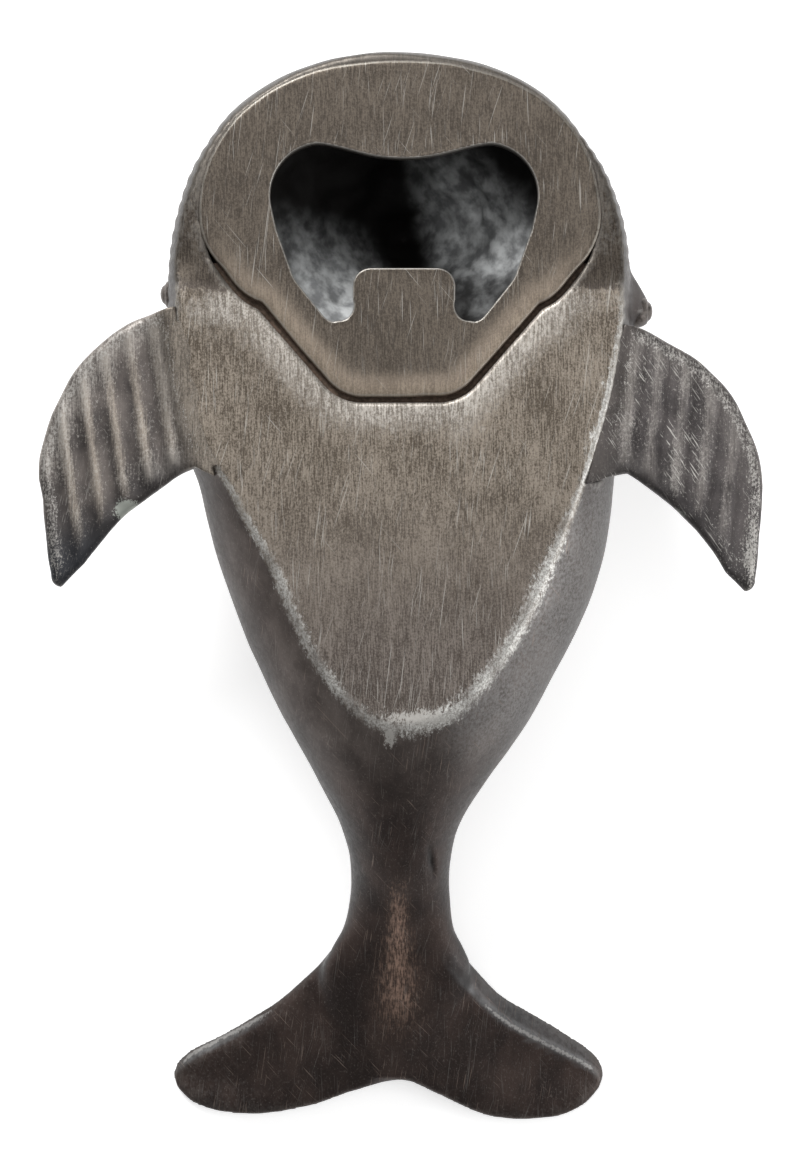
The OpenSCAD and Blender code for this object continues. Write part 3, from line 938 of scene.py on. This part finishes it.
class Finish:
    """A material under construction: each method adds a node and gives its output."""

    def __init__(self, name):
        self.material = bpy.data.materials.new(name)
        self.material.use_nodes = True
        self.nodes = self.material.node_tree.nodes
        self.links = self.material.node_tree.links
        self.shader = self.nodes["Principled BSDF"]
        self.place = self.nodes.new("ShaderNodeTexCoord").outputs["Object"]

    def put(self, value, socket):
        if isinstance(value, bpy.types.NodeSocket):
            self.links.new(value, socket)
        else:
            socket.default_value = value

    def node(self, kind, output, inputs, **settings):
        """Adds a node, sets or links its inputs, and gives one of its outputs."""
        node = self.nodes.new("ShaderNode" + kind)
        for name, value in settings.items():
            setattr(node, name, value)
        for name, value in inputs.items():
            self.put(value, node.inputs[name])
        return node.outputs[output]

    def mask(self, name):
        return self.node("Attribute", "Fac", {}, attribute_name=name)

    def noise(self, size, detail, rough, shift, turn=0.0):
        """Noise whose lumps have the given sizes in millimetres along X, Y and Z."""
        offsets = (shift, 1.7 * shift, 0.6 * shift)
        vector = self.node("Mapping", "Vector", {
            "Vector": self.place,
            "Location": [MM * s * o for s, o in zip(size, offsets)],
            "Rotation": (0, 0, turn),
            "Scale": [MM * s for s in size],
        }, vector_type="TEXTURE")
        return self.node("TexNoise", "Fac", {
            "Vector": vector, "Scale": 1.0, "Detail": detail, "Roughness": rough,
        })

    def math(self, kind, a, b, c=0.0):
        return self.node("Math", "Value", {0: a, 1: b, 2: c}, operation=kind)

    def times(self, a, b):
        return self.math("MULTIPLY", a, b)

    def step(self, value, start, end, low=0.0, high=1.0):
        """Low where the value is at start, high where it is at end, smooth between."""
        if start > end:
            start, end, low, high = end, start, high, low
        return self.node("MapRange", "Result", {
            "Value": value, "From Min": start, "From Max": end, "To Min": low, "To Max": high,
        }, interpolation_type="SMOOTHSTEP")

    def mix(self, amount, a, b):
        return self.node("Mix", "Result", {"Factor": amount, "A": a, "B": b}, data_type="RGBA")

    def blend(self, amount, a, b):
        """The same as mix, for plain numbers."""
        return self.node("Mix", "Result", {"Factor": amount, "A": a, "B": b})

    def bump(self, height, depth):
        """Surface relief of the given depth in millimetres."""
        return self.node("Bump", "Normal", {
            "Height": height, "Strength": 1.0, "Distance": depth * MM,
        })

    def scratches(self, turn, seed, fine, long, sparse):
        """Thin lines along one direction, in patches."""
        lines = self.noise((fine, long, 4.0), 1.0, 0.5, seed, turn)
        patches = self.noise((4.0, 7.0, 4.0), 1.0, 0.5, seed + 3.1)
        return self.times(
            self.step(lines, sparse, sparse + 0.07), self.step(patches, 0.42, 0.6)
        )

    def total(self, *parts, start=0.0):
        """The sum of values, each times its own weight."""
        total = start
        for value, weight in parts:
            total = self.math("MULTIPLY_ADD", value, weight, total)
        return total

    def over(self, colour, *coats):
        """The colour under one coat after another, each an amount and its own colour."""
        for amount, coat in coats:
            colour = self.mix(amount, colour, coat)
        return colour

    def done(self, colour, metallic, roughness, normal=None, specular=0.5):
        """Puts the values on the shader's sockets, and gives the material."""
        values = {
            "Base Color": colour, "Metallic": metallic, "Roughness": roughness,
            "Specular IOR Level": specular, "Normal": normal,
        }
        for name, value in values.items():
            if value is not None:
                self.put(value, self.shader.inputs[name])
        return self.material


SILVER = rgb(168, 164, 156)
BRIGHT = rgb(200, 197, 191)
NEAR_BLACK = rgb(24, 21, 20)


def brushed(f, low, high, seed):
    """Fine streaks along Y as the colour of ground metal, and their height."""
    fine = f.noise((0.15, 1.8, 2.0), 2.0, 0.6, seed, 0.02)
    wide = f.noise((0.45, 5.0, 3.0), 2.0, 0.5, seed + 1, -0.03)
    grain = f.noise((0.2, 0.26, 0.2), 3.0, 0.8, seed + 2)
    cloud = f.noise((6.0, 9.0, 6.0), 3.0, 0.6, seed + 3)
    tone = f.total((fine, 0.32), (wide, 0.10), (grain, 0.42), (cloud, 0.16))
    return f.mix(f.step(tone, 0.42, 0.59), low, high), f.total((fine, 0.7), (grain, 0.3))


def hairlines(f, seed):
    """Long thin scratches in a few directions, the most of them along Y."""
    lines = f.scratches(0.03, seed, 0.12, 6.0, 0.66)
    for turn, shift, sparse in ((-0.12, 1.0, 0.67), (-0.32, 2.0, 0.68), (0.7, 3.0, 0.73)):
        more = f.scratches(turn, seed + shift, 0.12, 9.0, sparse)
        lines = f.math("MAXIMUM", lines, more)
    return lines


def patina_and_painted_light(f, grit, speck):
    """Dark patina, browner towards the flukes, with the worn marks of the tail, painted
    highlights on the flukes, painted light on the right flank and painted shade on the brows.
    """
    rear = f.mask("rear")
    cloud = f.step(f.noise((5.0, 8.0, 5.0), 4.0, 0.6, 1.0), 0.35, 0.68)
    ragged = f.noise((0.3, 0.4, 0.3), 4.0, 0.8, 15.0)
    front = f.mix(cloud, rgb(76, 69, 66), rgb(102, 94, 90))
    behind = f.mix(cloud, rgb(52, 45, 43), rgb(72, 61, 57))
    worn = f.total((f.mask("broad"), 1.0), (grit, 0.6), start=-0.3)
    worn = f.times(f.step(worn, 0.14, 0.5), f.blend(rear, 0.28, 0.0))
    bevel = f.times(f.mask("bevel"), f.step(grit, 0.3, 0.6, 0.6, 0.9))
    crest = f.total((f.mask("crest"), 1.0), (ragged, 1.8), start=-1.1)
    pale = f.times(f.mask("pale"), f.step(ragged, 0.3, 0.7, 0.1, 0.8))
    streaky = f.noise((0.16, 2.4, 0.8), 3.0, 0.7, 4.0)
    rub = f.total((f.mask("rub"), 0.25), (streaky, 1.2), (grit, 0.6), start=-0.65)
    rub = f.times(f.mask("rub"), f.step(rub, 0.3, 0.7, 0.1, 0.95))
    scars = f.scratches(0.75, 71.0, 0.12, 4.0, 0.68)
    scars = f.math("MAXIMUM", scars, f.scratches(-0.15, 74.0, 0.12, 4.0, 0.66))
    return f.over(
        f.mix(rear, front, behind),
        (f.step(speck, 0.54, 0.75, 0, 0.28), rgb(150, 142, 136)),
        # near-black in the casting's broad hollows
        (f.step(f.mask("broad"), -0.04, -0.25, 0, 0.85), NEAR_BLACK),
        (worn, SILVER),
        # painted highlight: the flukes' leading bevels drawn lighter grey
        (bevel, rgb(112, 113, 114)),
        # painted highlight: thin bright lines along the flukes' leading edges
        (f.step(crest, 0.3, 0.7, 0, 0.7), rgb(170, 168, 165)),
        # painted light on the right flank
        (pale, rgb(142, 141, 140)),
        # painted shade darkens the brows
        (f.times(f.mask("brow"), 0.55), rgb(64, 60, 60)),
        # near-black along the crease beside the tail stock
        (f.mask("crease"), NEAR_BLACK),
        (rub, rgb(172, 143, 127)),
        (f.times(scars, f.blend(f.mask("steep"), 0.5, 0.06)), rgb(150, 134, 124)),
    )


def belly_face(f, grit):
    """Brushed bare metal, brighter near the plate's groove and duller behind."""
    face, streak = brushed(f, rgb(80, 72, 63), rgb(150, 140, 128), 5.0)
    bare, _ = brushed(f, rgb(112, 105, 97), rgb(206, 200, 192), 9.0)
    aft, _ = brushed(f, rgb(70, 63, 59), rgb(126, 118, 112), 13.0)
    near = f.total((f.mask("near_groove"), 0.75), (grit, 1.0), start=-0.5)
    near = f.step(near, 0.1, 0.75, 0, 0.8)
    return f.over(face, (f.times(f.mask("aft"), 0.9), aft), (near, bare)), streak


def belly_wear(f, colour):
    """The ragged silver line along the belly's edge, and the smears behind it."""
    upper, wear = f.mask("upper"), f.mask("wear")
    ragged = f.noise((0.35, 0.7, 0.5), 5.0, 0.85, 12.0)
    patchy = f.noise((3.0, 5.0, 3.0), 2.0, 0.5, 13.0)
    off = f.total((f.mask("off_flat"), f.blend(wear, 1.25, 0.72)), (ragged, 1.7), start=-0.9)
    line = f.times(f.step(off, -0.42, -0.14), f.step(off, 0.38, 0.12))
    line = f.times(line, f.step(patchy, 0.25, 0.6, 0.35, 1))
    line = f.times(line, f.times(upper, f.mask("behind_jaw")))
    crumbs = f.noise((0.22, 0.3, 0.25), 3.0, 0.8, 14.0)
    silver = f.mix(f.step(crumbs, 0.4, 0.6), rgb(160, 157, 152), rgb(226, 225, 221))
    ridge = f.total((f.mask("ridge"), 1.0), (ragged, 2.2), start=-1.4)
    smear = f.total((f.mask("smear"), 0.9), (ragged, 2.4), start=-1.35)
    return f.over(
        colour,
        (f.times(line, f.blend(wear, 0.55, 0.95)), silver),
        (f.step(ridge, 0.25, 0.6, 0, 0.85), silver),
        (f.step(smear, 0.3, 0.5, 0, 0.85), rgb(188, 185, 180)),
    )


def hollow_lining(f, grit):
    """Rough bright casting skin inside the head, with painted light and shade: black in its
    middle and ahead, lit behind and at the sides.
    """
    lumps = f.noise((1.7, 2.0, 2.4), 3.0, 0.55, 21.0, 0.5)
    wide = f.noise((4.0, 4.0, 4.0), 2.0, 0.5, 23.0)
    tone = f.total((lumps, 0.85), (grit, 0.15))
    lining = f.mix(f.step(tone, 0.35, 0.66), rgb(140, 141, 142), rgb(216, 218, 218))
    clean = f.total((f.mask("clean"), 1.0), (lumps, 0.25), (wide, 0.4), start=-0.33)
    clean = f.times(f.step(clean, 0.0, 1.05), f.step(f.mask("clean"), 0.0, 0.35))
    return f.mix(clean, rgb(15, 13, 12), lining)


def body_finish():
    """Dark patina, brushed on the ground belly and worn to silver along its edges, with painted
    shade darkening upright sides and painted light and shade in the hollow.
    """
    f = Finish("aged_casting")
    inside, steep = f.mask("inside"), f.mask("steep")
    grit = f.noise((0.5, 0.7, 0.6), 4.0, 0.7, 2.0)
    speck = f.noise((0.22, 0.3, 0.25), 3.0, 0.7, 3.0)
    frayed = f.total((f.mask("behind_jaw"), 1.0), (grit, 1.6), start=-0.8)
    ground = f.times(f.mask("ground"), f.step(frayed, 0.25, 0.65))
    jaw, _ = brushed(f, rgb(58, 52, 47), rgb(88, 81, 73), 25.0)
    face, streak = belly_face(f, grit)
    scratched = f.blend(ground, f.blend(steep, 0.12, 0.0), 0.5)
    colour = f.over(
        patina_and_painted_light(f, grit, speck),
        (f.times(f.mask("upper"), f.mask("lid")), jaw),
        (ground, face),
        (f.times(hairlines(f, 7.0), scratched), BRIGHT),
    )
    edge = f.total((f.mask("bulge"), 1.0), (grit, 0.9), start=-0.45)
    amount = f.blend(f.mask("behind_jaw"), 0.1, f.blend(f.mask("rear"), 0.3, 0.05))
    edge = f.times(f.step(edge, 0.16, 0.4), amount)
    edge = f.times(edge, f.step(f.mask("near_groove"), 0.6, 1.0, 1.0, 0.15))
    # painted shade: upright sides are darkened toward near-black, outside the hollow
    shade = f.times(steep, f.mask("shade"))
    colour = f.over(
        belly_wear(f, colour),
        (edge, BRIGHT),
        # the hollow's lining, with its painted light and shade
        (inside, hollow_lining(f, grit)),
        (f.times(shade, f.math("SUBTRACT", 1.0, inside)), NEAR_BLACK),
    )
    ground_rough = f.step(streak, 0.35, 0.65, 0.36, 0.5)
    rough = f.blend(ground, f.step(grit, 0.3, 0.7, 0.34, 0.5), ground_rough)
    relief = f.total((grit, 0.5), (speck, 0.3))
    height = f.blend(ground, relief, f.times(streak, 0.4))
    metal = f.blend(inside, f.blend(steep, 0.6, 0.1), 0.1)
    return f.done(colour, metal, f.blend(inside, rough, 0.7), f.bump(height, 0.04), 0.15)


def plate_finish():
    """Darker brushed steel, with a thin silver lip round the opening."""
    f = Finish("brushed_plate")
    grit = f.noise((0.4, 0.5, 0.5), 4.0, 0.7, 12.0)
    face, streak = brushed(f, rgb(64, 57, 50), rgb(104, 95, 85), 15.0)
    rolled, _ = brushed(f, rgb(150, 136, 121), rgb(192, 176, 158), 19.0)
    lip = f.total((f.mask("hole_edge"), 1.0), (grit, 0.9), start=-0.45)
    rim = f.total((f.mask("rim"), 1.0), (grit, 1.2), start=-0.6)
    colour = f.over(
        face,
        (f.times(f.mask("rolled"), 0.85), rolled),
        (f.times(hairlines(f, 17.0), 0.42), BRIGHT),
        (f.step(lip, 0.4, 0.9, 0, 0.5), BRIGHT),
        (f.step(rim, 0.5, 0.9, 0, 0.4), SILVER),
        (f.step(f.mask("ground"), 0.5, 0.0), rgb(66, 60, 55)),
    )
    rough = f.step(streak, 0.35, 0.65, 0.36, 0.5)
    return f.done(colour, 0.65, rough, f.bump(streak, 0.012))


def fin_finish(name, seed, look):
    """Patina in the hollows between the rays, brushed metal on top of them."""
    f = Finish(name)
    grit = f.noise((0.22, 0.32, 0.3), 4.0, 0.8, seed)
    cloud = f.noise((3.0, 5.0, 3.0), 3.0, 0.6, seed + 1)
    streak = f.noise((0.16, 2.2, 2.0), 3.0, 0.6, seed + 2)
    uneven = f.noise((3.5, 6.0, 3.0), 2.0, 0.6, seed + 3)
    ray, tip = f.mask("ray"), f.mask("tip")
    rub = f.total((ray, 0.75), (uneven, 0.8), (streak, 0.9), (grit, 0.7), start=-1.45)
    worn = f.total((f.mask("lead"), 0.5), (ray, 0.2), (streak, 0.7), (grit, 1.0), start=-0.8)
    face, _ = brushed(f, rgb(88, 81, 73), rgb(136, 127, 116), seed + 9)
    glints = f.total((grit, 1.0), (ray, 0.08), (uneven, 0.35), start=-0.2)
    nicks = f.scratches(look["turn"], seed + 4, 0.13, 1.9, 0.63)
    rim = f.total((f.mask("rim"), 0.3), (tip, look["bright_tip"]), start=-0.93)
    rim = f.total((grit, 1.6), (streak, 0.5), start=rim)
    edge = f.total((f.mask("bulge"), 1.0), (grit, 1.0), start=-0.5)
    chip = f.step(f.total((f.mask("chip"), 1.0), (grit, 1.4), start=-0.7), 0.4, 0.55)
    colour = f.over(
        f.mix(f.step(cloud, 0.35, 0.65), look["low"], look["high"]),
        (f.step(grit, 0.52, 0.75, 0, 0.4), rgb(150, 143, 138)),
        (f.step(rub, 0.0, 0.85, 0, look["rays"]), look["ray"]),
        (f.step(worn, 0.3, 0.7, 0, look["lead"]), rgb(176, 170, 163)),
        (f.times(f.mask("trail"), look["dark_trail"]), rgb(52, 50, 51)),
        (f.times(tip, look["dark_tip"]), rgb(50, 51, 55)),
        (f.times(f.mask("root"), look["root"]), face),
        (f.step(glints, 0.56, 0.68, 0, look["glints"]), BRIGHT),
        (f.times(nicks, look["nicks"]), BRIGHT),
        (f.step(rim, 0.36, 0.56, 0, look["rim"]), rgb(186, 183, 178)),
        (f.step(edge, 0.3, 0.6, 0, 0.2), SILVER),
        (f.times(chip, look["chip"]), rgb(172, 176, 168)),
    )
    rough = f.step(grit, 0.3, 0.7, 0.36, 0.5)
    return f.done(colour, 0.6, rough, f.bump(f.total((grit, 0.5), (streak, 0.5)), 0.03))


# How strong each mark is on a fin, from 0 to 1, and the way that its nicks turn
LEFT_FIN = {
    "low": rgb(74, 69, 67), "high": rgb(106, 99, 95), "ray": rgb(178, 167, 154),
    "rays": 0.85, "lead": 0.6, "root": 0.95, "dark_trail": 0.6, "dark_tip": 1.0,
    "bright_tip": 0.0, "rim": 0.65, "glints": 0.25, "nicks": 0.25, "turn": -0.25, "chip": 0.9,
}
RIGHT_FIN = {
    "low": rgb(62, 58, 58), "high": rgb(88, 83, 82), "ray": rgb(142, 136, 132),
    "rays": 0.7, "lead": 0.15, "root": 0.15, "dark_trail": 0.4, "dark_tip": 0.1,
    "bright_tip": 0.15, "rim": 0.85, "glints": 0.25, "nicks": 0.75, "turn": 0.6, "chip": 0.3,
}


def solder_finish(name, low, high, silver, metallic):
    """Dull rough metal, with some silver where it bulges."""
    f = Finish(name)
    grit = f.noise((0.5, 0.5, 0.5), 4.0, 0.65, 32.0)
    bulge = f.step(f.mask("bulge"), 0.2, 0.5, 0, silver)
    colour = f.over(f.mix(f.step(grit, 0.35, 0.7), low, high), (bulge, SILVER))
    rough = f.step(grit, 0.3, 0.7, 0.5, 0.7)
    return f.done(colour, metallic, rough, f.bump(grit, 0.05), metallic)


def eye_finish():
    """Worn patina, with silver on the ring and the rim of the head."""
    f = Finish("worn_eye")
    grit = f.noise((0.4, 0.4, 0.4), 4.0, 0.65, 42.0)
    patina = f.mix(f.step(grit, 0.3, 0.7), rgb(70, 65, 62), rgb(112, 105, 100))
    colour = f.over(patina, (f.step(f.mask("bulge"), 0.25, 0.6, 0, 0.5), SILVER))
    rough = f.step(grit, 0.3, 0.7, 0.35, 0.5)
    return f.done(colour, 0.6, rough, f.bump(grit, 0.02))


# ---------------------------------------------------------------- the whole object
def add_piece(piece, node, finish):
    piece.data.materials.clear()
    piece.data.materials.append(finish)
    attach(piece, "root")
    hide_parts(node)


add_piece(make_body(), "whale_body", body_finish())
add_piece(make_plate(), "opener_plate", plate_finish())
add_piece(
    make_seam(), "plate_solder_seam",
    solder_finish("seam_solder", rgb(84, 73, 64), rgb(118, 100, 88), 0.0, 0.1),
)
bead_metal = solder_finish("fin_solder", rgb(92, 88, 84), rgb(150, 148, 144), 0.4, 0.5)
fin_metal = {
    -1: fin_finish("worn_left_fin", 52.0, LEFT_FIN),
    1: fin_finish("worn_right_fin", 62.0, RIGHT_FIN),
}
eye_metal = eye_finish()
for side, name in ((-1, "left"), (1, "right")):
    add_piece(make_fin(name + "_fin_cast", side), name + "_fin", fin_metal[side])
    add_piece(make_eye(name + "_eye_pin", side), name + "_eye", eye_metal)
    add_piece(make_bead(name + "_fin_bead", side), name + "_fin_solder", bead_metal)


# ---------------------------------------------------------------- floor, light, camera
def make_floor():
    """A plain flat square of white paper under the object."""
    half = 1500 * MM
    mesh = bpy.data.meshes.new("floor")
    mesh.from_pydata(
        [(-half, -half, 0), (half, -half, 0), (half, half, 0), (-half, half, 0)],
        [], [(0, 1, 2, 3)],
    )
    floor = bpy.data.objects.new("floor", mesh)
    bpy.context.scene.collection.objects.link(floor)
    paper = Finish("paper")
    tone = paper.noise((400, 400, 400), 2.0, 0.5, 51.0)
    colour = paper.mix(tone, rgb(244, 244, 244), rgb(250, 250, 250))
    paper.put((1, 1, 1, 1), paper.shader.inputs["Emission Color"])
    paper.put(0.55, paper.shader.inputs["Emission Strength"])
    floor.data.materials.append(paper.done(colour, 0.0, 0.9))


def make_light(name, place, size, power, aim=(0, 0, 20)):
    """A soft square lamp. Place and aim are in millimetres."""
    lamp = bpy.data.lights.new(name, "AREA")
    lamp.size = size * MM
    lamp.energy = power
    light = bpy.data.objects.new(name, lamp)
    light.location = Vector(place) * MM
    light.rotation_euler = (Vector(aim) - Vector(place)).to_track_quat("-Z", "Y").to_euler()
    bpy.context.scene.collection.objects.link(light)


def make_camera():
    """Straight above the belly, as the object is seen from the opener's side."""
    sensor = 36.0
    distance = 400.0
    seen_long_side = 130.1
    camera = bpy.data.cameras.new("camera")
    camera.sensor_width = sensor
    camera.lens = sensor * distance / seen_long_side
    camera.clip_start = 0.01
    holder = bpy.data.objects.new("camera", camera)
    holder.location = Vector((0, 1.5, BELLY_Z + distance)) * MM
    bpy.context.scene.collection.objects.link(holder)
    bpy.context.scene.camera = holder


def make_world():
    world = bpy.data.worlds.new("studio")
    world.use_nodes = True
    background = world.node_tree.nodes["Background"]
    background.inputs["Color"].default_value = (1, 1, 1, 1)
    background.inputs["Strength"].default_value = 0.2
    bpy.context.scene.world = world


make_floor()
make_world()
make_light("key", (-170, 420, 360), 260, 3.1)
make_light("fill", (40, 80, 640), 420, 0.8)
make_light("side", (420, -120, 240), 300, 0.9)
make_camera()
bpy.context.scene.view_settings.view_transform = "Standard"
